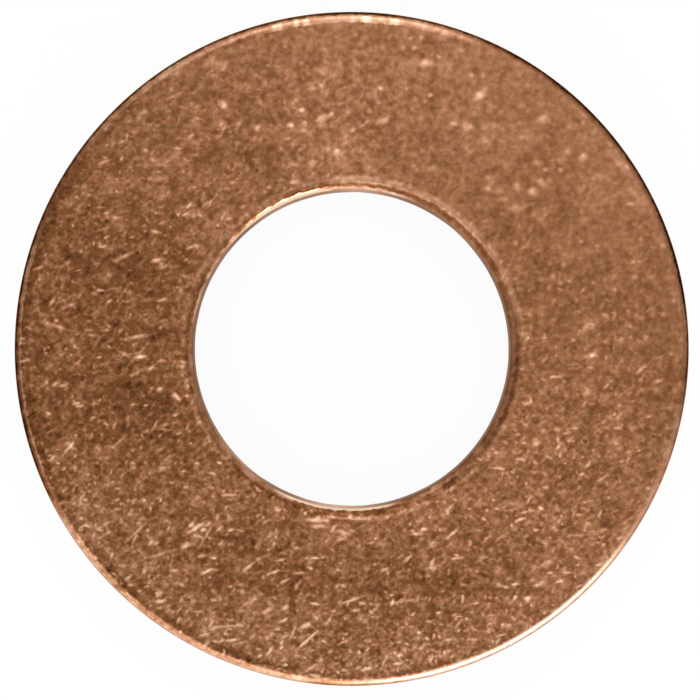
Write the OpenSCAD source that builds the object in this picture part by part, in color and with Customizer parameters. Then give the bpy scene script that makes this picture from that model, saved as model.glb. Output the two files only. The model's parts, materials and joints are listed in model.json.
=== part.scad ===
// Copper crush washer: one flat ring blanked from soft copper strip.
// It lies on its lower face, with the bore axis on +Z and the origin at the
// centre of that face. All sizes are in millimetres.

/* [Ring] */
// Outside diameter, across the smooth band of the outer wall
outer_d = 15; // [11:0.1:30]
// Bore diameter, across the smooth band of the inner wall
bore_d = 7.1; // [3:0.1:11]
// Thickness from the lower face to the upper face
thickness = 1.5; // [1.1:0.05:4]

/* [Rolled edges of the upper face] */
// Radial width of the roll round the outside
outer_roll_w = 0.23; // [0.2:0.01:0.6]
// Depth of the roll round the outside
outer_roll_h = 0.19; // [0.05:0.01:0.22]
// Radial width of the roll round the bore
bore_roll_w = 0.27; // [0.22:0.01:0.6]
// Depth of the roll round the bore
bore_roll_h = 0.21; // [0.05:0.01:0.26]

/* [Sheared walls] */
// Height of the torn band above the lower face
torn_h = 0.55; // [0.2:0.05:0.7]
// How far the torn band draws back from the smooth band, at the lower face
torn_draw = 0.05; // [0.01:0.01:0.12]
// Radius of the tumbled edges of the lower face
tumbled_r = 0.06; // [0.02:0.01:0.15]

/* [Hidden] */

outer_r = outer_d / 2;
bore_r = bore_d / 2;
// Slope of the torn band, measured from the bore axis
torn_slope = atan(torn_draw / torn_h);
// How far a cutting shape runs past the ring
spare = 1;
round_fn = 128;
copper = [0.60, 0.41, 0.28];

// Radius of the arc that leaves the face on a tangent and drops h over a width w
function roll_radius(w, h) = (w * w + h * h) / (2 * h);

// The cuts below shape one sheared wall. The wall's smooth band stands at x = 0,
// the metal lies towards -x, and y is the height above the lower face.

// Rolled edge, drawn down by the die
module roll_cut(w, h) {
    arc_r = roll_radius(w, h);
    difference() {
        translate([-w, thickness - h])
            square([w + spare, h + spare]);
        translate([-w, thickness - arc_r])
            circle(r = arc_r, $fn = round_fn);
    }
}

// Torn band, where the strip broke away below the smooth band
module torn_cut() {
    foot = -torn_draw - spare * tan(torn_slope);
    polygon([[0, torn_h], [foot, -spare], [spare, -spare], [spare, torn_h]]);
}

// Edge between the torn band and the lower face, rounded by tumbling
module tumbled_cut() {
    tangent = tumbled_r / tan(45 + torn_slope / 2);
    centre = [-torn_draw - tangent, tumbled_r];
    reach = centre + (tumbled_r + spare) * [cos(torn_slope), -sin(torn_slope)];
    difference() {
        polygon([centre, [centre.x, -spare], [reach.x, -spare], reach]);
        translate(centre)
            circle(r = tumbled_r, $fn = round_fn);
    }
}

module wall_cuts(roll_w, roll_h) {
    roll_cut(roll_w, roll_h);
    torn_cut();
    tumbled_cut();
}

// Half section of the ring, on the +x side of the bore axis
module section() {
    difference() {
        translate([bore_r, 0])
            square([outer_r - bore_r, thickness]);
        translate([outer_r, 0])
            wall_cuts(outer_roll_w, outer_roll_h);
        translate([bore_r, 0])
            mirror([1, 0])
                wall_cuts(bore_roll_w, bore_roll_h);
    }
}

module washer() {
    color(copper)
        rotate_extrude($fn = round_fn)
            section();
}

washer();
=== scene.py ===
import json
import math
import random
import bmesh
import bpy
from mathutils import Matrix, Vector, noise


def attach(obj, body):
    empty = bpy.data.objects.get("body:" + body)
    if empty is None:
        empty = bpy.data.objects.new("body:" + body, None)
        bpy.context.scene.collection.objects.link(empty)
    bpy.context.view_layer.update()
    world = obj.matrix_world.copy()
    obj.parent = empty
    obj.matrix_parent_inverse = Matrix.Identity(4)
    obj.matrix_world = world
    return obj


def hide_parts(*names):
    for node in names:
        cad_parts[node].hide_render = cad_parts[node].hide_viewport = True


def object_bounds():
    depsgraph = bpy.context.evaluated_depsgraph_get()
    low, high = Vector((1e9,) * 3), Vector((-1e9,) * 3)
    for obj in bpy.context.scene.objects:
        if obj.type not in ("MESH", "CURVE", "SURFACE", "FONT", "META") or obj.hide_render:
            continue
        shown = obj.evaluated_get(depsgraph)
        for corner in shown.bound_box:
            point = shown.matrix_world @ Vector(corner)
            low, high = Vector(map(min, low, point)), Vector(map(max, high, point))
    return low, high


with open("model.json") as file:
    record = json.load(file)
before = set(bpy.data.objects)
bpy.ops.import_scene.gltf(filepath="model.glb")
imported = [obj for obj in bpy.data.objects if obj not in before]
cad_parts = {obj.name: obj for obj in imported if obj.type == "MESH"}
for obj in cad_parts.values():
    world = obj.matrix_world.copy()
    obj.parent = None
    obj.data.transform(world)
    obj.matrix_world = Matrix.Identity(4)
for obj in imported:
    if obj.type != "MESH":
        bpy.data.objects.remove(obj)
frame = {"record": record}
cadLow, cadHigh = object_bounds()
mm = 0.001
boreMount = next(m for m in frame["record"]["mounts"] if m["name"] == "bore")
print("frame: washer loaded")

ring = {  # sizes in mm
    "outerR": round(cadHigh.x / mm, 3),
    "boreR": boreMount["dims"]["r_mm"],
    "thickness": round(cadHigh.z / mm, 3),
    "outerRoll": (0.23, 0.19),  # width and depth of the edge rolled down by the die
    "boreRoll": (0.27, 0.21),
    "tornH": 0.55,  # torn band, from the lower face up
    "tornDraw": 0.05,  # how far it draws back
    "tumbledR": 0.06,
    "turns": 720,  # steps round the ring
    "faceSteps": 48,
    "rollSteps": 14,
    "smoothSteps": 4,
    "tornSteps": 9,
    "tumbledSteps": 3,
    "lowerSteps": 12,
    "weld": 0.0005,  # the seam of the turned section closes within this
    "wallTilt": 0.15,  # a face is a wall where its normal rises less than this
}
faceInner = ring["boreR"] + ring["boreRoll"][0]  # the flat of the upper face lies between these
faceOuter = ring["outerR"] - ring["outerRoll"][0]


def lineTo(bm, vert, x, z, steps):
    stride = (Vector((x, 0, z)) - vert.co) / steps
    for _ in range(steps):
        vert = bmesh.ops.extrude_vert_indiv(bm, verts=[vert])["verts"][0]
        vert.co += stride
    return vert


def arcTo(bm, vert, x, z, sweep, steps):
    turned = bmesh.ops.spin(bm, geom=[vert], cent=(x, 0, z), axis=(0, 1, 0), angle=sweep, steps=steps)
    return next(e for e in turned["geom_last"] if isinstance(e, bmesh.types.BMVert))


def rollArc(width, depth):
    radius = (width ** 2 + depth ** 2) / (2 * depth)  # leaves the face on a tangent
    return radius, math.asin(width / radius)


def drawSection(bm):
    top = ring["thickness"]
    outerArc, outerSweep = rollArc(*ring["outerRoll"])
    boreArc, boreSweep = rollArc(*ring["boreRoll"])
    slope = math.atan(ring["tornDraw"] / ring["tornH"])
    tumbled = ring["tumbledR"]
    foot = ring["tornDraw"] + tumbled / math.tan(math.pi / 4 + slope / 2)  # wall to arc centre
    outerFoot = ring["outerR"] - foot
    boreFoot = ring["boreR"] + foot
    reach, drop = tumbled * math.cos(slope), tumbled * math.sin(slope)

    pen = bm.verts.new((faceInner, 0, top))
    pen = lineTo(bm, pen, faceOuter, top, ring["faceSteps"])
    pen = arcTo(bm, pen, faceOuter, top - outerArc, outerSweep, ring["rollSteps"])
    pen = lineTo(bm, pen, ring["outerR"], ring["tornH"], ring["smoothSteps"])
    pen = lineTo(bm, pen, outerFoot + reach, tumbled - drop, ring["tornSteps"])
    pen = arcTo(bm, pen, outerFoot, tumbled, math.pi / 2 - slope, ring["tumbledSteps"])
    pen = lineTo(bm, pen, boreFoot, 0, ring["lowerSteps"])
    pen = arcTo(bm, pen, boreFoot, tumbled, math.pi / 2 - slope, ring["tumbledSteps"])
    pen = lineTo(bm, pen, ring["boreR"], ring["tornH"], ring["tornSteps"])
    pen = lineTo(bm, pen, ring["boreR"], top - ring["boreRoll"][1], ring["smoothSteps"])
    arcTo(bm, pen, faceInner, top - boreArc, boreSweep, ring["rollSteps"])


wear = {  # sizes in mm
    "seed": 11,
    "waveDepth": 0.006,  # slow rise and fall of the face
    "waveLength": 1.6,
    "waveFade": (0.20, 0.02),  # below the face, where the wave starts and where it is whole
    "dents": 46,
    "dentRadius": (0.06, 0.22),
    "dentDepth": (0.002, 0.009),
    "dentClear": (0.5, 0.4),  # from the bore and from the outside
    "wallReach": 0.06,  # what is this near a smooth band belongs to its wall
    "tornDepth": 0.035,
    "tornGrain": ((5.0, 1.0), (12.0, 0.6)),  # scale to the mm and share
    "tornRange": (0.5, 1.3),  # added to the grain, and its limit, as shares of the depth
    "tornFade": 0.12,  # height over which it fades, up to the smooth band
    "wander": 0.10,  # rise and fall of the line where the smooth band ends
    "wanderWaves": ((0.9, 1.0), (3.5, 0.5)),  # as the grain
    "wanderReach": 0.35,  # how far above and below that line it is felt
    "nick": (-3.81, -6.31, 0.09, 0.035),  # place, radius and depth of the nick in the outer edge
}


def smoothStep(low, high, value):
    t = min(max((value - low) / (high - low), 0), 1)
    return t * t * (3 - 2 * t)


def rough(place, layers):
    return sum(share * noise.noise(place * scale) for scale, share in layers)


def hollow(flat, x, y, radius):
    near = ((flat.x - x) ** 2 + (flat.y - y) ** 2) / radius ** 2
    return math.exp(-2 * near) if near < 4 else 0  # nothing beyond twice the radius


def scatterDents():
    pick = random.Random(wear["seed"])
    nearest = ring["boreR"] + wear["dentClear"][0]
    farthest = ring["outerR"] - wear["dentClear"][1]
    dents = []
    for _ in range(wear["dents"]):
        away = math.sqrt(pick.uniform(nearest ** 2, farthest ** 2))
        turn = pick.uniform(0, 2 * math.pi)
        radius = pick.uniform(*wear["dentRadius"])
        depth = pick.uniform(*wear["dentDepth"])
        dents.append((away * math.cos(turn), away * math.sin(turn), radius, depth))
    return dents


def sinkFace(vert, flat, dents):
    fadeFrom, fadeTo = wear["waveFade"]
    onTop = smoothStep(ring["thickness"] - fadeFrom, ring["thickness"] - fadeTo, vert.co.z)
    wave = noise.noise(flat / wear["waveLength"]) * 0.5 + 0.5
    vert.co.z -= onTop * wear["waveDepth"] * min(max(wave, 0), 1)
    for x, y, radius, depth in dents:
        vert.co.z -= depth * hollow(flat, x, y, radius)


def tearWall(vert, flat, outward):
    fade = smoothStep(ring["tornH"], ring["tornH"] - wear["tornFade"], vert.co.z)
    lift, limit = wear["tornRange"]
    grain = min(max(rough(vert.co, wear["tornGrain"]) + lift, 0), limit)
    side = -1 if flat.length > faceInner else 1  # always into the metal
    near = max(0, 1 - abs(vert.co.z - ring["tornH"]) / wear["wanderReach"])
    vert.co += outward * (side * wear["tornDepth"] * grain * fade)
    vert.co.z += wear["wander"] * rough(flat, wear["wanderWaves"]) * near


def wearRing(bm):
    dents = scatterDents()
    nickX, nickY, nickR, nickDepth = wear["nick"]
    rollFoot = ring["thickness"] - ring["boreRoll"][1]
    boreWall = ring["boreR"] + wear["wallReach"]
    outerWall = ring["outerR"] - wear["wallReach"]
    for vert in bm.verts:
        flat = Vector((vert.co.x, vert.co.y, 0))
        outward = flat.normalized()
        if vert.co.z > ring["thickness"] - wear["waveFade"][0]:
            sinkFace(vert, flat, dents)
        onWall = not boreWall < flat.length < outerWall
        if onWall and ring["tumbledR"] < vert.co.z < rollFoot:
            tearWall(vert, flat, outward)
        if vert.co.z > ring["tornH"]:
            vert.co -= outward * (nickDepth * hollow(flat, nickX, nickY, nickR))


finishes = ["wornCopper", "outerRolled", "boreRolled", "shearedCopper", "tornCopper"]


def finishOf(face):
    middle = face.calc_center_median()
    away = math.hypot(middle.x, middle.y)
    if abs(face.normal.z) < ring["wallTilt"]:
        return finishes.index("shearedCopper" if middle.z > ring["tornH"] else "tornCopper")
    if middle.z < ring["tornH"] or faceInner < away < faceOuter:
        return finishes.index("wornCopper")
    return finishes.index("outerRolled" if away > faceOuter else "boreRolled")


def makeRing():
    bm = bmesh.new()
    drawSection(bm)
    bmesh.ops.spin(bm, geom=bm.verts[:] + bm.edges[:], cent=(0, 0, 0), axis=(0, 0, 1),
                   angle=2 * math.pi, steps=ring["turns"], use_merge=True)
    bmesh.ops.remove_doubles(bm, verts=bm.verts, dist=ring["weld"])
    bmesh.ops.recalc_face_normals(bm, faces=bm.faces)
    for face in bm.faces:
        face.smooth = True
        face.material_index = finishOf(face)
    wearRing(bm)
    bmesh.ops.scale(bm, vec=(mm, mm, mm), verts=bm.verts)
    mesh = bpy.data.meshes.new("copperRing")
    bm.to_mesh(mesh)
    bm.free()
    piece = bpy.data.objects.new("copper_ring", mesh)
    bpy.context.scene.collection.objects.link(piece)
    print("ring:", len(mesh.polygons), "faces")
    return piece


def addNode(tree, kind, inputs=None, **settings):
    made = tree.nodes.new(kind)
    for name, value in settings.items():
        setattr(made, name, value)
    for name, value in (inputs or {}).items():
        if isinstance(value, bpy.types.NodeSocket):
            tree.links.new(value, made.inputs[name])
        else:
            made.inputs[name].default_value = value
    return made


def calc(tree, operation, a, b=0.0, c=0.0):
    return addNode(tree, "ShaderNodeMath", {0: a, 1: b, 2: c}, operation=operation).outputs[0]


def addScaled(tree, value, factor, base):
    return calc(tree, "MULTIPLY_ADD", value, factor, base)


def calcVector(tree, operation, a, b=(0, 0, 0), output="Vector"):
    return addNode(tree, "ShaderNodeVectorMath", {0: a, 1: b}, operation=operation).outputs[output]


def lengthOf(tree, vector):
    return calcVector(tree, "LENGTH", vector, output="Value")


def scaled(tree, vector, factor):
    inputs = {0: vector, "Scale": factor}
    return addNode(tree, "ShaderNodeVectorMath", inputs, operation="SCALE").outputs[0]


def joined(tree, x, y):
    return addNode(tree, "ShaderNodeCombineXYZ", {"X": x, "Y": y}).outputs[0]


def split(tree, vector):
    return addNode(tree, "ShaderNodeSeparateXYZ", {0: vector}).outputs


def alongAcross(tree, place, lean):
    back = calc(tree, "MULTIPLY", lean, -1.0)
    turned = addNode(tree, "ShaderNodeVectorRotate", {"Vector": place, "Angle": back},
                     rotation_type="Z_AXIS").outputs[0]
    return split(tree, turned)[:2]


def spread(tree, value, low, high, toLow=0.0, toHigh=1.0, smooth=False):
    kind = "SMOOTHSTEP" if smooth else "LINEAR"
    inputs = {"Value": value, "From Min": low, "From Max": high, "To Min": toLow, "To Max": toHigh}
    return addNode(tree, "ShaderNodeMapRange", inputs, interpolation_type=kind).outputs["Result"]


def startGroup(name, inputs, outputs):
    tree = bpy.data.node_groups.new(name, "ShaderNodeTree")
    for label, value in inputs.items():
        kind = "NodeSocketVector" if value is None else "NodeSocketFloat"
        socket = tree.interface.new_socket(name=label, in_out="INPUT", socket_type=kind)
        if value is not None:
            socket.default_value = value
    for label in outputs:
        kind = "NodeSocketColor" if label == "Color" else "NodeSocketFloat"
        tree.interface.new_socket(name=label, in_out="OUTPUT", socket_type=kind)
    return tree, addNode(tree, "NodeGroupInput").outputs, addNode(tree, "NodeGroupOutput").inputs


def useGroup(tree, group, inputs):
    return addNode(tree, "ShaderNodeGroup", inputs, node_tree=group).outputs


def cloud(tree, place, scale, detail, distortion, amount, dimensions="2D"):
    inputs = {"Vector": place, "Scale": scale, "Detail": detail, "Distortion": distortion}
    found = addNode(tree, "ShaderNodeTexNoise", inputs, noise_dimensions=dimensions).outputs[0]
    return addScaled(tree, found, amount, -amount / 2)  # as much above nought as below


def placedMark(tree, place, x, y, lean, length, width, strength):
    inputs = {"Vector": place, "Location": (x, y, 0), "Rotation": (0, 0, math.radians(lean)),
              "Scale": (length, width, 1)}
    local = addNode(tree, "ShaderNodeMapping", inputs, vector_type="TEXTURE").outputs[0]
    mark = addNode(tree, "ShaderNodeTexGradient", {"Vector": local}, gradient_type="SPHERICAL")
    return calc(tree, "MULTIPLY", mark.outputs["Fac"], strength)


strokeShape = {
    "shortest": 0.6,  # share of the full length
    "edge": (1.0, 0.1),  # where a stroke begins to show and where it is whole, going in to its middle
    "faintest": 0.15,
    "few": 2.5,  # the higher this is, the fewer are bright
}


# short strokes, one to a cell, each turned and sized by its cell
def scratchGroup():
    look = strokeShape
    inputs = {"Place": None, "Spacing": 0.3, "Length": 0.1, "Width": 0.03, "Lean": 0.6,
              "Fan": 1.0, "Share": 0.5, "Seed": 0.0}
    tree, given, result = startGroup("scratches", inputs, ["Mark"])
    placed = calcVector(tree, "ADD", given["Place"], joined(tree, given["Seed"], given["Seed"]))
    cells = scaled(tree, placed, calc(tree, "DIVIDE", 1.0, given["Spacing"]))
    pattern = addNode(tree, "ShaderNodeTexVoronoi", {"Vector": cells, "Scale": 1.0},
                      voronoi_dimensions="2D")
    chance = addNode(tree, "ShaderNodeSeparateColor", {0: pattern.outputs["Color"]}).outputs
    offset = calcVector(tree, "SUBTRACT", cells, pattern.outputs["Position"])
    offset = scaled(tree, offset, given["Spacing"])
    lean = addScaled(tree, calc(tree, "SUBTRACT", chance[0], 0.5), given["Fan"], given["Lean"])
    along, across = alongAcross(tree, offset, lean)
    kept = calc(tree, "LESS_THAN", chance[1], given["Share"])
    size = calc(tree, "DIVIDE", chance[1], given["Share"])
    size = addScaled(tree, size, 1 - look["shortest"], look["shortest"])
    size = calc(tree, "MINIMUM", size, 1.0)
    along = calc(tree, "DIVIDE", along, calc(tree, "MULTIPLY", given["Length"], size))
    across = calc(tree, "DIVIDE", across, given["Width"])
    away = calc(tree, "SQRT", addScaled(tree, along, along, calc(tree, "MULTIPLY", across, across)))
    mark = spread(tree, away, *look["edge"], smooth=True)
    bright = calc(tree, "POWER", chance[2], look["few"])
    bright = addScaled(tree, bright, 1 - look["faintest"], look["faintest"])
    tree.links.new(calc(tree, "MULTIPLY", calc(tree, "MULTIPLY", mark, bright), kept), result["Mark"])
    return tree


grainSoft = 0.30  # noise gained from where a grain begins to show to where it is whole


# ragged grains drawn out along one direction
def grainGroup():
    inputs = {"Place": None, "Lean": 0.5, "Long": 0.2, "Wide": 0.08, "Level": 0.55, "Seed": 0.0}
    tree, given, result = startGroup("grains", inputs, ["Mark"])
    along, across = alongAcross(tree, given["Place"], given["Lean"])
    along = calc(tree, "ADD", calc(tree, "DIVIDE", along, given["Long"]), given["Seed"])
    drawn = joined(tree, along, calc(tree, "DIVIDE", across, given["Wide"]))
    found = addNode(tree, "ShaderNodeTexNoise", {"Vector": drawn, "Scale": 1.0, "Detail": 0.0},
                    noise_dimensions="2D").outputs[0]
    top = calc(tree, "ADD", given["Level"], grainSoft)
    tree.links.new(spread(tree, found, given["Level"], top), result["Mark"])
    return tree


cosineLimit = 0.99999  # keeps a cosine where it can be turned back into an angle


def softEdge(tree, inside, width):
    share = calc(tree, "DIVIDE", inside, width)
    return spread(tree, share, -0.5, 0.5, smooth=True)


# a stretch of a rim, between two radii and round part of the clock
def rimGroup():
    inputs = {"Radius": 0.0, "Clock": 0.0, "Inner": 7.3, "Outer": 7.5, "Soft": 0.02, "Middle": 0.0,
              "Half": 3.2, "Fade": 0.1}
    tree, given, result = startGroup("rimStretch", inputs, ["Mark"])
    rise = softEdge(tree, calc(tree, "SUBTRACT", given["Radius"], given["Inner"]), given["Soft"])
    fall = softEdge(tree, calc(tree, "SUBTRACT", given["Outer"], given["Radius"]), given["Soft"])
    band = calc(tree, "MULTIPLY", rise, fall)
    apart = calc(tree, "COSINE", calc(tree, "SUBTRACT", given["Clock"], given["Middle"]))
    apart = calc(tree, "ARCCOSINE", calc(tree, "MULTIPLY", apart, cosineLimit))
    span = softEdge(tree, calc(tree, "SUBTRACT", given["Half"], apart), given["Fade"])
    tree.links.new(calc(tree, "MULTIPLY", band, span), result["Mark"])
    return tree


tones = [  # tarnished brown to bare copper
    (0.05, (0.022, 0.008, 0.003)),
    (0.16, (0.075, 0.026, 0.009)),
    (0.33, (0.193, 0.077, 0.030)),
    (0.42, (0.290, 0.127, 0.060)),
    (0.50, (0.395, 0.185, 0.100)),
    (0.62, (0.580, 0.308, 0.190)),
    (0.80, (0.830, 0.520, 0.350)),
    (1.00, (0.980, 0.740, 0.550)),
]
burnishTones = (0.3, 0.9)  # still dull, and fully burnished


# one tone gives the colour and how rough it is: tarnish is dull, bare copper is burnished
def tarnishGroup():
    inputs = {"Tone": 0.4, "Dull": 0.46, "Burnished": 0.26, "Hue": 0.5, "Saturation": 1.0}
    tree, given, result = startGroup("tarnish", inputs, ["Color", "Roughness"])
    ramp = addNode(tree, "ShaderNodeValToRGB", {"Fac": given["Tone"]})
    stops = ramp.color_ramp.elements
    while len(stops) < len(tones):
        stops.new(0.5)
    for stop, (at, colour) in zip(stops, tones):
        stop.position = at
        stop.color = (*colour, 1)
    inputs = {"Hue": given["Hue"], "Saturation": given["Saturation"], "Color": ramp.outputs["Color"]}
    tinted = addNode(tree, "ShaderNodeHueSaturation", inputs).outputs[0]
    matt = spread(tree, given["Tone"], *burnishTones, given["Dull"], given["Burnished"])
    tree.links.new(tinted, result["Color"])
    tree.links.new(matt, result["Roughness"])
    return tree


ground = {  # what the face and its rolled edges share
    "tone": 0.374,
    "slope": 0.0022,  # tone gained to the mm, left to right: partly painted light, lighter where the light falls, partly tarnish
    "waist": 0.0007,  # tone lost to the square mm at both sides, gained above and below: partly painted light, partly tarnish
    "downhill": (-0.6, -0.8, 0),  # towards the more worn side
    "reach": (-5.5, 4.5),  # mm along it, from the least worn to the most
    "mottled": (0.63, 1.10),  # how strong the clouds are, from the least worn to the most
    "cloudy": (0.0, 5.4, 0, 3.6, 2.4, 0.36),  # where they are stronger, as a mark
    "clouds": [  # scale to the mm, detail, distortion, strength
        (0.7, 1.0, 0.0, 0.07),
        (2.0, 1.0, 0.0, 0.15),
        (4.2, 1.0, 0.2, 0.22),
        (8.0, 1.0, 0.3, 0.22),
    ],
    "grit": (14.0, 1.0, 0.3, 0.17),
    "hue": (9.0, 1.0, 0.5, 0.044),  # as a cloud
    "hueFade": (0.25, 0.65),  # weaker where less worn than this, down to this share where least worn
    "saturation": (0.994, 1.012),  # from the least worn to the most
    "broadPatches": [  # wide and faint patches, lighter or darker, as marks
        (0.3, -5.3, 0, 2.8, 1.9, -0.07), (2.7, -5.0, 30, 2.2, 1.8, -0.05),
        (-2.6, -4.6, -30, 1.8, 1.4, -0.04), (-5.9, -3.6, -60, 1.9, 0.9, 0.08),
        (-4.3, -1.6, 0, 1.5, 1.5, -0.055), (-4.9, 1.9, 0, 1.8, 1.6, -0.05),
        (5.7, 3.6, -60, 1.9, 1.1, 0.05), (3.7, 1.9, -60, 1.4, 1.0, -0.035),
        (0.0, 4.3, 0, 1.5, 0.9, 0.04), (2.6, 5.2, -30, 1.8, 1.2, 0.025),
        (-4.8, 0.0, 0, 2.8, 3.8, -0.045), (-2.2, -4.6, 0, 2.4, 2.2, -0.02),
        (-2.7, 4.7, 0, 1.7, 1.4, -0.04), (4.6, -2.4, 0, 1.6, 1.6, -0.02),
        (0.2, -6.6, 0, 3.0, 0.7, -0.03),
    ],
}


def groundGroup():
    look = ground
    tree, given, result = startGroup("ground", {"Place": None, "Pattern": None},
                                     ["Tone", "Worn", "Grit", "Relief", "Hue", "Saturation"])
    flat, pattern = given["Place"], given["Pattern"]
    part = split(tree, flat)
    worn = spread(tree, calcVector(tree, "DOT_PRODUCT", flat, look["downhill"], "Value"), *look["reach"])
    mottled = calc(tree, "ADD", spread(tree, worn, 0.0, 1.0, *look["mottled"]),
                   placedMark(tree, pattern, *look["cloudy"]))
    # partly painted light, partly tarnish: lighter to the right and above and below, darker at the sides
    tone = addScaled(tree, part["X"], look["slope"], look["tone"])
    waist = calc(tree, "SUBTRACT", calc(tree, "MULTIPLY", part["Y"], part["Y"]),
                 calc(tree, "MULTIPLY", part["X"], part["X"]))
    tone = addScaled(tree, waist, look["waist"], tone)
    for values in look["clouds"]:
        finest = cloud(tree, pattern, *values)
        tone = addScaled(tree, finest, mottled, tone)
    for values in look["broadPatches"]:
        tone = calc(tree, "ADD", placedMark(tree, pattern, *values), tone)
    grit = cloud(tree, pattern, *look["grit"])
    tree.links.new(tone, result["Tone"])
    tree.links.new(worn, result["Worn"])
    tree.links.new(grit, result["Grit"])
    tree.links.new(calc(tree, "ADD", finest, grit), result["Relief"])
    fadeFrom, weakest = look["hueFade"]
    turned = spread(tree, worn, 0.0, fadeFrom, weakest, 1.0)
    hue = addScaled(tree, cloud(tree, pattern, *look["hue"]), turned, 0.5)  # at 0.5 it isn't turned
    tree.links.new(hue, result["Hue"])
    tree.links.new(spread(tree, worn, 0.0, 1.0, *look["saturation"]), result["Saturation"])
    return tree


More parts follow.
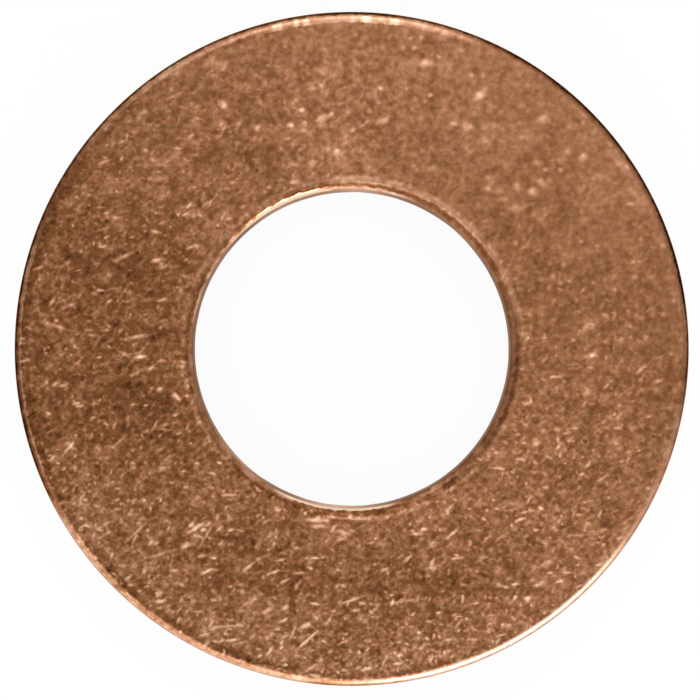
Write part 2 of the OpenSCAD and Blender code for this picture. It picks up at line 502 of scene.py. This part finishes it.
wornCopper = {
    "roughness": (0.46, 0.26),  # dull and burnished
    "edgeTint": (0.45, 0.32, 0.25),  # tarnish takes the glare off at a low angle
    "bump": 0.004,  # mm
    "ragged": (9.0, 0.035),  # scale to the mm and reach in mm of what breaks up the marks
    "sharp": (0.15, 1.0),  # strength of the marks, from the least worn side to the most
    "keen": [  # where they are stronger, as marks
        (4.7, -2.6, -60, 3.4, 2.6, 0.30), (-4.6, 3.0, 60, 2.6, 2.2, 0.18),
        (5.4, 0.3, 0, 1.8, 2.2, 0.18), (2.7, -4.7, 0, 2.2, 2.0, 0.15),
        (0.0, -6.9, 0, 4.0, 0.9, 0.25),
    ],
    "patches": (0.9, 0.40, 1.35),  # scale to the mm, share of marks where few and where many
    "patchEdge": (-0.15, 0.15),  # of the cloud that makes the patches
    "crowded": (6.60, 7.40, 0.60, 185, 50, 40, 0.6, 0.0),  # more marks by the lower rim, as a stretch
    "scratched": (3.65, 7.36, 0.10, 0, 200, 8, 1.0, 0.0),  # all but the very edges, as a stretch
    "scratches": [  # spacing, length, width, lean, fan, share, seed, strength
        (0.15, 0.085, 0.048, 0.5, 3.1, 0.38, 3.0, 0.30),
        (0.21, 0.120, 0.052, 0.5, 2.4, 0.38, 29.0, 0.37),
        (0.31, 0.180, 0.056, 0.55, 1.8, 0.40, 9.0, 0.43),
        (0.44, 0.240, 0.057, 0.5, 1.5, 0.42, 51.0, 0.47),
        (0.75, 0.350, 0.056, 0.55, 1.4, 0.42, 17.0, 0.46),
        (1.30, 0.620, 0.051, 0.5, 1.4, 0.42, 33.0, 0.40),
    ],
    "smudges": [  # dark strokes, as scratches
        (0.24, 0.110, 0.060, 0.8, 2.8, 0.40, 61.0, -0.12),
        (0.36, 0.170, 0.065, 0.9, 2.2, 0.35, 93.0, -0.14),
    ],
    "grains": [  # lean, long, wide, level, seed, strength
        (0.6, 0.17, 0.085, 0.54, 5.0, 0.10),
        (-0.5, 0.17, 0.085, 0.56, 23.0, 0.08),
    ],
    "blobs": [  # as scratches
        (0.42, 0.150, 0.082, 0.1, 1.0, 0.55, 41.0, 0.16),
        (0.65, 0.250, 0.140, 0.2, 1.5, 0.60, 83.0, 0.12),
        (0.28, 0.105, 0.080, 0.3, 3.1, 0.50, 71.0, 0.09),
    ],
    "soft": (1.15, 0.95),  # strength of the blobs, from the least worn side to the most
    "blotch": (-0.6, 5.4, 0, 3.4, 2.3, 1.1),  # where the blobs are stronger, as a mark
    "strongest": 0.5,  # the marks below are rounded off towards this
    "marks": [  # the ones that show most: x, y, lean in degrees, half length, half width, strength
        (-5.16, -2.06, 41, 0.34, 0.07, 0.32), (-6.32, -2.25, 53, 0.34, 0.07, 0.32),
        (-4.74, -0.52, 24, 0.28, 0.08, 0.26), (-4.45, -0.43, 48, 0.20, 0.08, 0.34),
        (-3.86, -1.08, -51, 0.24, 0.07, 0.34), (-4.77, 0.27, 9, 0.52, 0.09, 0.32),
        (-3.44, -3.96, 32, 0.42, 0.07, 0.48), (-4.25, -4.55, 18, 0.85, 0.07, 0.25),
        (-3.66, -4.37, 17, 0.26, 0.08, 0.36), (-0.80, -3.79, 0, 0.42, 0.09, 0.40),
        (-0.74, -3.93, 0, 0.26, 0.08, 0.32), (-0.21, -4.06, -5, 0.34, 0.08, 0.34),
        (1.45, -4.10, 0, 0.28, 0.08, 0.36), (-1.88, -5.80, 27, 0.22, 0.09, 0.40),
        (-1.48, -5.74, 34, 0.16, 0.09, 0.40), (-1.02, -6.13, 28, 0.28, 0.09, 0.40),
        (-1.21, -5.25, 56, 0.22, 0.08, 0.32), (1.03, -5.61, 8, 0.80, 0.07, 0.26),
        (-5.05, 2.05, 21, 0.34, 0.08, 0.34), (-4.33, 1.97, 17, 0.24, 0.09, 0.38),
        (-6.22, 0.97, 18, 0.24, 0.08, 0.31), (-6.53, 0.50, -17, 0.54, 0.08, 0.32),
        (-5.75, 0.30, -13, 0.24, 0.08, 0.33), (-6.56, -0.77, 32, 0.20, 0.08, 0.34),
        (6.40, -0.46, 45, 0.26, 0.08, 0.30), (6.80, -0.71, 20, 0.22, 0.09, 0.32),
        (5.33, -0.14, 15, 0.16, 0.10, 0.36), (4.10, -2.10, 35, 0.18, 0.10, 0.30),
        (2.84, 5.62, 10, 0.21, 0.16, 0.27), (4.77, 4.37, 0, 0.19, 0.16, 0.22),
        (5.13, 4.28, 0, 0.17, 0.15, 0.20), (4.19, 3.69, -24, 0.32, 0.14, 0.24),
        (3.02, 3.55, 0, 0.19, 0.14, 0.21), (3.27, 3.50, 0, 0.19, 0.14, 0.21),
        (3.68, 3.57, 0, 0.20, 0.15, 0.20), (4.00, 3.51, 0, 0.21, 0.15, 0.18),
        (4.10, 4.14, 0, 0.24, 0.14, 0.19), (2.96, 4.60, 0, 0.28, 0.13, 0.17),
        (3.31, 4.60, 0, 0.20, 0.13, 0.16), (3.75, 4.68, 20, 0.24, 0.16, 0.16),
        (1.78, 4.01, 25, 0.21, 0.14, 0.20), (4.27, 5.15, 15, 0.30, 0.13, 0.14),
        (1.61, 6.35, 20, 0.22, 0.16, 0.19), (2.47, 4.98, 0, 0.16, 0.15, 0.14),
        (-4.72, 5.14, 60, 0.18, 0.11, 0.22), (-5.09, 4.59, 30, 0.14, 0.10, 0.24),
        (-5.65, 3.92, 0, 0.22, 0.08, 0.22), (-5.25, 2.92, -15, 0.45, 0.08, 0.16),
        (-3.43, 2.28, -20, 0.14, 0.11, 0.28), (-2.52, 4.91, 65, 0.32, 0.07, 0.14),
        (-1.45, 6.00, 45, 0.20, 0.10, 0.16), (1.76, -4.86, 0, 0.24, 0.08, 0.26),
        (4.37, -4.72, 0, 0.16, 0.09, 0.32), (4.20, -5.19, 35, 0.16, 0.09, 0.28),
        (3.91, -5.52, 10, 0.14, 0.10, 0.32), (5.57, -4.03, 30, 0.20, 0.08, 0.24),
    ],
}

rolledCopper = {
    "roughness": (0.46, 0.26),
    "edgeTint": (0.45, 0.32, 0.25),
    "bump": 0.004,
    "ragged": (6.0, 0.08),
    "bars": 0.30,  # mm, length of the bars that break up a painted highlight on a rim
    "barSpread": 1.5,  # from the darkest bar to the brightest, for a rim that is all bars
    # inner and outer radius, softness, middle of the clock, half its span, fade, strength, share of bars
    # painted highlights and painted shade on the outer rolled edge: light stretches where the lamps
    # glint on it, dark ones where it reflects the shadowed floor
    "outerRimPaintedLight": [
        (7.338, 7.60, 0.08, 150, 26, 24, 0.40, 0.0),
        (7.340, 7.60, 0.08, 213, 27, 5, 0.17, 0.2),
        (7.425, 7.60, 0.03, 215, 28, 5, 0.22, 0.0),
        (7.240, 7.415, 0.03, 357, 13, 24, 0.23, 0.35),
        (7.225, 7.295, 0.05, 342, 8, 6, -0.09, 0.0),
        (7.290, 7.410, 0.05, 332, 9, 10, 0.11, 0.0),
        (7.265, 7.430, 0.05, 14, 6, 8, 0.10, 0.0),
        (7.245, 7.405, 0.05, 347, 0.8, 0.8, 0.20, 0.0),
        (7.245, 7.405, 0.05, 350.4, 0.5, 0.6, 0.20, 0.0),
        (7.245, 7.405, 0.05, 352, 0.6, 0.6, 0.20, 0.0),
        (7.245, 7.405, 0.05, 2.6, 0.8, 0.8, 0.24, 0.0),
        (7.245, 7.405, 0.05, 7.4, 0.7, 0.8, 0.24, 0.0),
        (7.430, 7.60, 0.03, 352, 104, 8, -0.15, 0.0),
        (7.410, 7.60, 0.03, 1, 5, 5, -0.12, 0.0),
        (7.405, 7.60, 0.03, 52, 30, 14, -0.12, 0.0),
        (7.150, 7.40, 0.10, 60, 22, 20, 0.045, 0.0),
        (7.170, 7.32, 0.08, 238, 75, 50, -0.08, 0.0),
        (7.325, 7.378, 0.03, 262, 16, 14, 0.15, 0.0),
        (7.335, 7.430, 0.04, 283, 8, 8, 0.16, 0.0),
        (7.320, 7.430, 0.04, 320, 12, 12, 0.13, 0.0),
        (7.310, 7.420, 0.06, 94, 22, 18, 0.07, 0.0),
        (7.330, 7.60, 0.05, 109, 9, 8, 0.12, 0.0),
        (7.250, 7.60, 0.08, 121, 9, 8, 0.07, 0.0),
    ],
    "boreRimPaintedLight": [  # painted highlights and painted shade on the bore's rolled edge, as the outer rim
        (3.535, 3.640, 0.03, 338, 12, 10, 0.46, 0.3),
        (3.500, 3.585, 0.02, 334, 16, 12, 0.17, 0.0),
        (3.500, 3.605, 0.03, 2, 18, 12, 0.50, 0.3),
        (3.535, 3.605, 0.03, 304, 23, 12, 0.32, 0.4),
        (3.520, 3.605, 0.03, 322, 14, 8, 0.19, 0.0),
        (3.630, 3.700, 0.03, 317, 9, 8, -0.11, 0.0),
        (3.655, 3.745, 0.04, 345, 9, 8, -0.10, 0.0),
        (3.545, 3.635, 0.04, 266, 22, 12, 0.16, 0.0),
        (3.680, 3.800, 0.05, 268, 18, 14, 0.045, 0.0),
        (3.500, 3.580, 0.03, 40, 28, 24, 0.16, 0.0),
        (3.500, 3.600, 0.03, 186, 20, 12, 0.70, 0.2),
        (3.570, 3.640, 0.04, 150, 8, 12, 0.22, 0.2),
        (3.650, 3.760, 0.05, 149, 9, 8, -0.07, 0.0),
        (3.640, 3.720, 0.04, 104, 20, 12, -0.08, 0.0),
        (3.600, 3.730, 0.04, 167, 7, 8, -0.08, 0.0),
        (3.575, 3.645, 0.04, 106, 38, 16, 0.07, 0.0),
        (3.525, 3.635, 0.05, 220, 20, 16, 0.21, 0.2),
        (3.620, 3.680, 0.04, 18, 44, 14, -0.12, 0.0),
        (3.705, 3.790, 0.06, 33, 45, 24, 0.17, 0.0),
        (3.785, 3.855, 0.04, 38, 50, 22, 0.07, 0.0),
        (3.740, 3.840, 0.06, 120, 16, 14, 0.05, 0.0),
        (3.670, 3.740, 0.04, 188, 20, 10, -0.08, 0.0),
        (3.665, 3.810, 0.05, 216, 11, 8, -0.10, 0.0),
        (3.650, 3.760, 0.04, 196, 6, 6, -0.06, 0.0),
        (3.770, 3.840, 0.05, 165, 12, 12, 0.09, 0.0),
        (3.715, 3.785, 0.04, 181, 8, 6, 0.15, 0.3),
        (3.655, 3.755, 0.05, 238, 10, 12, 0.10, 0.0),
        (3.680, 3.800, 0.05, 318, 30, 16, 0.08, 0.0),
    ],
}

shearedCopper = {
    "tone": 0.29,
    "roughness": (0.34, 0.22),
    "edgeTint": (0.66, 0.48, 0.37),
    "dimensions": "2D",  # so its clouds run down the wall as lines
    "clouds": [
        (5.0, 1.0, 0.0, 0.07),
        (16.0, 1.0, 0.0, 0.09),
    ],
    "bump": 0.014,
    "shade": (0.55, 1.20, -0.12),  # from its foot up, darkest at the foot
    "rim": [  # painted highlights where the bore wall reflects the lamps, as stretches of rim
        (3.40, 3.70, 0.02, 2, 8, 32, 0.56, 0.0),
        (3.40, 3.70, 0.02, 44, 14, 26, 0.16, 0.0),
        (3.40, 3.70, 0.02, 185, 12, 28, 0.62, 0.0),
        (3.40, 3.70, 0.02, 226, 12, 26, 0.32, 0.0),
        (3.40, 3.70, 0.02, 302, 8, 26, 0.18, 0.0),
        (3.40, 3.70, 0.02, 334, 10, 24, 0.28, 0.0),
    ],
}

tornCopper = {
    "tone": 0.36,
    "roughness": (0.60, 0.42),
    "edgeTint": (0.50, 0.36, 0.28),
    "dimensions": "3D",
    "clouds": [
        (4.0, 2.0, 0.3, 0.24),
        (13.0, 2.0, 0.3, 0.30),
    ],
    "bump": 0.05,
    "shade": (0.0, 0.55, -0.05),
    "rim": [],
}
underside = 40.0  # mm, so far off is the patch of pattern that the lower face takes


def startMaterial(name):
    made = bpy.data.materials.new(name)
    made.use_nodes = True
    print("material:", name)
    return made, made.node_tree, made.node_tree.nodes["Principled BSDF"]


def placeInMm(tree):
    return scaled(tree, addNode(tree, "ShaderNodeTexCoord").outputs["Object"], 1 / mm)


def clockOf(tree, part):
    return calc(tree, "ARCTAN2", part["X"], part["Y"])


def patternOf(tree, part):
    below = calc(tree, "LESS_THAN", part["Z"], ring["tornH"])
    return joined(tree, addScaled(tree, below, underside, part["X"]), part["Y"])


def raggedShift(tree, pattern, scale, reach):
    inputs = {"Vector": pattern, "Scale": scale}
    found = addNode(tree, "ShaderNodeTexNoise", inputs, noise_dimensions="2D")
    shift = calcVector(tree, "SUBTRACT", found.outputs["Color"], (0.5, 0.5, 0.5))
    return scaled(tree, shift, reach)


def markLayer(tree, group, place, values, often=None):
    names = [item.name for item in group.interface.items_tree if item.in_out == "INPUT"]
    inputs = {"Place": place}
    inputs.update(zip(names[1:], values))
    if often:
        inputs["Share"] = calc(tree, "MULTIPLY", often, inputs["Share"])
    return calc(tree, "MULTIPLY", useGroup(tree, group, inputs)["Mark"], values[-1])


def rimMark(tree, group, away, clock, values):
    inner, outer, soft, middle, half, fade = values[:6]
    inputs = {"Radius": away, "Clock": clock, "Inner": inner, "Outer": outer, "Soft": soft,
              "Middle": math.radians(middle), "Half": math.radians(half), "Fade": math.radians(fade)}
    return useGroup(tree, group, inputs)["Mark"]


# adds the stretches of painted highlight and painted shade to the tone, broken into bars
def paintRimLight(tree, group, away, clock, stretches, tone):
    along = calc(tree, "MULTIPLY", clock, ring["outerR"] / rolledCopper["bars"])
    bar = addNode(tree, "ShaderNodeTexVoronoi", {"W": along, "Scale": 1.0}, voronoi_dimensions="1D")
    bar = addNode(tree, "ShaderNodeSeparateColor", {0: bar.outputs["Color"]}).outputs[0]
    for values in stretches:
        strength, broken = values[6:]
        mark = rimMark(tree, group, away, clock, values)
        if broken:
            bars = addScaled(tree, bar, rolledCopper["barSpread"] * broken, 1 - broken)
            mark = calc(tree, "MULTIPLY", mark, bars)
        tone = addScaled(tree, mark, strength, tone)
    return tone


def finishSurface(tree, surface, groups, tone, look, base=None):
    dull, burnished = look["roughness"]
    inputs = {"Tone": tone, "Dull": dull, "Burnished": burnished}
    if base:
        inputs.update({"Hue": base["Hue"], "Saturation": base["Saturation"]})
    tarnish = useGroup(tree, groups["tarnish"], inputs)
    tree.links.new(tarnish["Color"], surface.inputs["Base Color"])
    tree.links.new(tarnish["Roughness"], surface.inputs["Roughness"])
    surface.inputs["Metallic"].default_value = 1.0
    surface.inputs["Specular Tint"].default_value = (*look["edgeTint"], 1)


def addBump(tree, surface, height, depth):
    bump = addNode(tree, "ShaderNodeBump", {"Height": height, "Strength": 1.0, "Distance": depth * mm})
    tree.links.new(bump.outputs[0], surface.inputs["Normal"])


def faceStrokes(tree, groups, ragged, pattern, away, clock):
    look = wornCopper
    scale, few, many = look["patches"]
    often = cloud(tree, pattern, scale, 1.0, 0.0, 1.0)
    often = spread(tree, often, *look["patchEdge"], few, many)
    crowd = rimMark(tree, groups["rim"], away, clock, look["crowded"])
    often = addScaled(tree, crowd, look["crowded"][6], often)
    strokes = 0.0
    for values in look["scratches"]:
        layer = markLayer(tree, groups["scratches"], ragged, values, often)
        strokes = calc(tree, "MAXIMUM", layer, strokes)
    for values in look["grains"]:
        strokes = calc(tree, "ADD", markLayer(tree, groups["grains"], ragged, values), strokes)
    for values in look["smudges"]:
        strokes = calc(tree, "ADD", markLayer(tree, groups["scratches"], ragged, values), strokes)
    return strokes


def faceBlobs(tree, groups, ragged, pattern):
    look = wornCopper
    blobs = 0.0
    for values in look["blobs"]:
        blobs = calc(tree, "ADD", markLayer(tree, groups["scratches"], ragged, values), blobs)
    return addScaled(tree, blobs, placedMark(tree, pattern, *look["blotch"]), blobs)


def faceMarks(tree, pattern):
    placed = 0.0
    for values in wornCopper["marks"]:
        placed = calc(tree, "MAXIMUM", placedMark(tree, pattern, *values), placed)
    strongest = wornCopper["strongest"]
    return spread(tree, placed, 0.0, strongest, 0.0, strongest, smooth=True)


def strokesGroup(groups):
    look = wornCopper
    inputs = {"Place": None, "Pattern": None, "Clock": 0.0, "Worn": 0.5, "Grit": 0.0}
    tree, given, result = startGroup("strokes", inputs, ["Mark"])
    pattern = given["Pattern"]
    shift = raggedShift(tree, pattern, *look["ragged"])
    ragged = calcVector(tree, "ADD", pattern, shift)
    away = lengthOf(tree, calcVector(tree, "ADD", given["Place"], shift))
    sharp = spread(tree, given["Worn"], 0.0, 1.0, *look["sharp"])
    for values in look["keen"]:
        sharp = calc(tree, "ADD", placedMark(tree, pattern, *values), sharp)
    strokes = faceStrokes(tree, groups, ragged, pattern, away, given["Clock"])
    strokes = calc(tree, "MULTIPLY", calc(tree, "ADD", strokes, given["Grit"]), sharp)
    soft = spread(tree, given["Worn"], 0.0, 1.0, *look["soft"])
    marked = addScaled(tree, faceBlobs(tree, groups, ragged, pattern), soft, strokes)
    marked = calc(tree, "ADD", marked, faceMarks(tree, pattern))
    scratched = rimMark(tree, groups["rim"], away, given["Clock"], look["scratched"])
    tree.links.new(calc(tree, "MULTIPLY", marked, scratched), result["Mark"])
    return tree


# the flat of the face, or its rolled edges
def faceMaterial(name, look, groups, stretches):
    made, tree, surface = startMaterial(name)
    part = split(tree, placeInMm(tree))
    flat = joined(tree, part["X"], part["Y"])
    pattern = patternOf(tree, part)
    clock = clockOf(tree, part)
    base = useGroup(tree, groups["ground"], {"Place": flat, "Pattern": pattern})
    strokes = useGroup(tree, groups["strokes"], {"Place": flat, "Pattern": pattern, "Clock": clock,
                                                 "Worn": base["Worn"], "Grit": base["Grit"]})
    tone = calc(tree, "ADD", base["Tone"], strokes["Mark"])
    shift = raggedShift(tree, pattern, *rolledCopper["ragged"])
    away = lengthOf(tree, calcVector(tree, "ADD", flat, shift))
    # painted highlights and painted shade of the rims
    tone = paintRimLight(tree, groups["rim"], away, clock, stretches, tone)
    finishSurface(tree, surface, groups, tone, look, base)
    addBump(tree, surface, base["Relief"], look["bump"])
    return made


# the two bands of the sheared walls
def wallMaterial(name, look, groups):
    made, tree, surface = startMaterial(name)
    place = placeInMm(tree)
    part = split(tree, place)
    relief = 0.0
    for values in look["clouds"]:
        relief = calc(tree, "ADD", cloud(tree, place, *values, look["dimensions"]), relief)
    low, high, depth = look["shade"]
    shade = spread(tree, part["Z"], low, high, look["tone"] + depth, look["tone"])
    tone = calc(tree, "ADD", relief, shade)
    if look["rim"]:
        # painted highlights on the bore wall
        away = lengthOf(tree, joined(tree, part["X"], part["Y"]))
        tone = paintRimLight(tree, groups["rim"], away, clockOf(tree, part), look["rim"], tone)
    finishSurface(tree, surface, groups, tone, look)
    addBump(tree, surface, relief, look["bump"])
    return made


def finishRing(piece):
    groups = {"scratches": scratchGroup(), "grains": grainGroup(), "rim": rimGroup(),
              "tarnish": tarnishGroup(), "ground": groundGroup()}
    groups["strokes"] = strokesGroup(groups)
    outerRimPaintedLight, boreRimPaintedLight = rolledCopper["outerRimPaintedLight"], rolledCopper["boreRimPaintedLight"]
    # the flat takes the stretches of painted highlight and painted shade that reach in over it
    onFlat = [s for s in outerRimPaintedLight if s[0] < faceOuter] + [s for s in boreRimPaintedLight if s[1] > faceInner]
    made = {"wornCopper": faceMaterial("wornCopper", wornCopper, groups, onFlat),
            "outerRolled": faceMaterial("outerRolled", rolledCopper, groups, outerRimPaintedLight),
            "boreRolled": faceMaterial("boreRolled", rolledCopper, groups, boreRimPaintedLight),
            "shearedCopper": wallMaterial("shearedCopper", shearedCopper, groups),
            "tornCopper": wallMaterial("tornCopper", tornCopper, groups)}
    for name in finishes:
        piece.data.materials.append(made[name])


floorLook = {
    "half": 0.6,  # half its side in metres
    "colour": (0.9, 0.9, 0.9),
    "white": 0.93,  # share of pure white in what the camera and the copper see of it
}


def makeFloor():
    bm = bmesh.new()
    bmesh.ops.create_grid(bm, x_segments=1, y_segments=1, size=floorLook["half"])
    mesh = bpy.data.meshes.new("floor")
    bm.to_mesh(mesh)
    bm.free()
    floor = bpy.data.objects.new("floor", mesh)
    bpy.context.scene.collection.objects.link(floor)
    paper = bpy.data.materials.new("whitePaper")
    paper.use_nodes = True
    tree = paper.node_tree
    tree.nodes.clear()
    path = addNode(tree, "ShaderNodeLightPath").outputs
    seen = calc(tree, "MAXIMUM", path["Is Camera Ray"], path["Is Glossy Ray"])
    seen = calc(tree, "MAXIMUM", seen, path["Is Transmission Ray"])
    share = calc(tree, "MULTIPLY", seen, floorLook["white"])
    lit = addNode(tree, "ShaderNodeBsdfDiffuse", {"Color": (*floorLook["colour"], 1)}).outputs[0]
    glow = addNode(tree, "ShaderNodeEmission", {"Color": (1, 1, 1, 1), "Strength": 1.0}).outputs[0]
    mixed = addNode(tree, "ShaderNodeMixShader", {0: share, 1: lit, 2: glow}).outputs[0]
    addNode(tree, "ShaderNodeOutputMaterial", {"Surface": mixed})
    mesh.materials.append(paper)
    print("floor: white paper")


studio = {  # clock angle and height in degrees, distance and size in mm, brightness as seen
    "overhead": {"clock": 45, "height": 72, "away": 160, "size": (150, 150), "bright": 0.7},
    "key": {"clock": 158, "height": 12, "away": 150, "size": (130, 40), "bright": 7.0},
    "side": {"clock": 209, "height": 30, "away": 150, "size": (180, 130), "bright": 1.05},
    "back": {"clock": 0, "height": 40, "away": 150, "size": (90, 60), "bright": 2.2},
}
lampPower = 4  # watts from a square metre of lamp, for a brightness of 1


def lightStudio():
    for name, lamp in studio.items():
        light = bpy.data.lights.new(name, "AREA")
        light.shape = "RECTANGLE"
        light.size, light.size_y = (side * mm for side in lamp["size"])
        light.energy = lampPower * lamp["bright"] * light.size * light.size_y
        held = bpy.data.objects.new(name, light)
        turn, rise = math.radians(lamp["clock"]), math.radians(lamp["height"])
        level = math.cos(rise)
        toward = Vector((math.sin(turn) * level, math.cos(turn) * level, math.sin(rise)))
        held.location = toward * lamp["away"] * mm
        held.rotation_mode = "QUATERNION"
        held.rotation_quaternion = toward.to_track_quat("Z", "Y")
        held.visible_camera = False
        bpy.context.scene.collection.objects.link(held)
    print("studio:", len(studio), "soft lamps")


room = {  # brightness of the white horizon, the walls above it and the ceiling
    "horizon": 1.0,
    "wall": 0.70,
    "zenith": 0.60,
    "whiteFade": (0.10, 0.34),  # rise of the sight line, over which the white fades
}


def lightRoom():
    world = bpy.data.worlds.new("paleRoom")
    bpy.context.scene.world = world
    world.use_nodes = True
    tree = world.node_tree
    tree.nodes.clear()
    toward = addNode(tree, "ShaderNodeTexCoord").outputs["Generated"]
    rise = split(tree, toward)["Z"]
    fadeLow, fadeHigh = room["whiteFade"]
    low = spread(tree, rise, fadeLow, fadeHigh, room["horizon"], room["wall"], smooth=True)
    dimmed = spread(tree, rise, fadeHigh, 1.0, 0.0, room["wall"] - room["zenith"])
    level = calc(tree, "SUBTRACT", low, dimmed)
    back = addNode(tree, "ShaderNodeBackground", {"Color": (1, 1, 1, 1), "Strength": level}).outputs[0]
    addNode(tree, "ShaderNodeOutputWorld", {"Surface": back})
    print("room: pale")


shot = {  # lens and sensor in mm, the rest in pixels of the photograph
    "lens": 100,
    "sensor": 36,
    "frame": 700,
    "outlineR": 337.0,
    "centre": (351.7, 348.9),
    "clip": (0.001, 10),  # metres
}


def placeCamera():
    camera = bpy.data.cameras.new("camera")
    camera.lens = shot["lens"]
    camera.sensor_width = shot["sensor"]
    camera.clip_start, camera.clip_end = shot["clip"]
    held = bpy.data.objects.new("camera", camera)
    focal = shot["frame"] * shot["lens"] / shot["sensor"]  # in pixels
    middle = shot["frame"] / 2
    brow = ring["thickness"] - ring["outerRoll"][1]  # height of the edge that makes the outline
    away = ring["outerR"] * focal / shot["outlineR"]
    x = -(shot["centre"][0] - middle) * away / focal
    y = (shot["centre"][1] - middle) * away / focal
    held.location = Vector((x, y, brow + away)) * mm
    bpy.context.scene.collection.objects.link(held)
    bpy.context.scene.camera = held
    print("camera: straight down from", round(away, 2), "mm")


bpy.context.scene.view_settings.view_transform = "Standard"
washer = makeRing()
finishRing(washer)
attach(washer, "root")
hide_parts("washer")
makeFloor()
lightStudio()
lightRoom()
placeCamera()
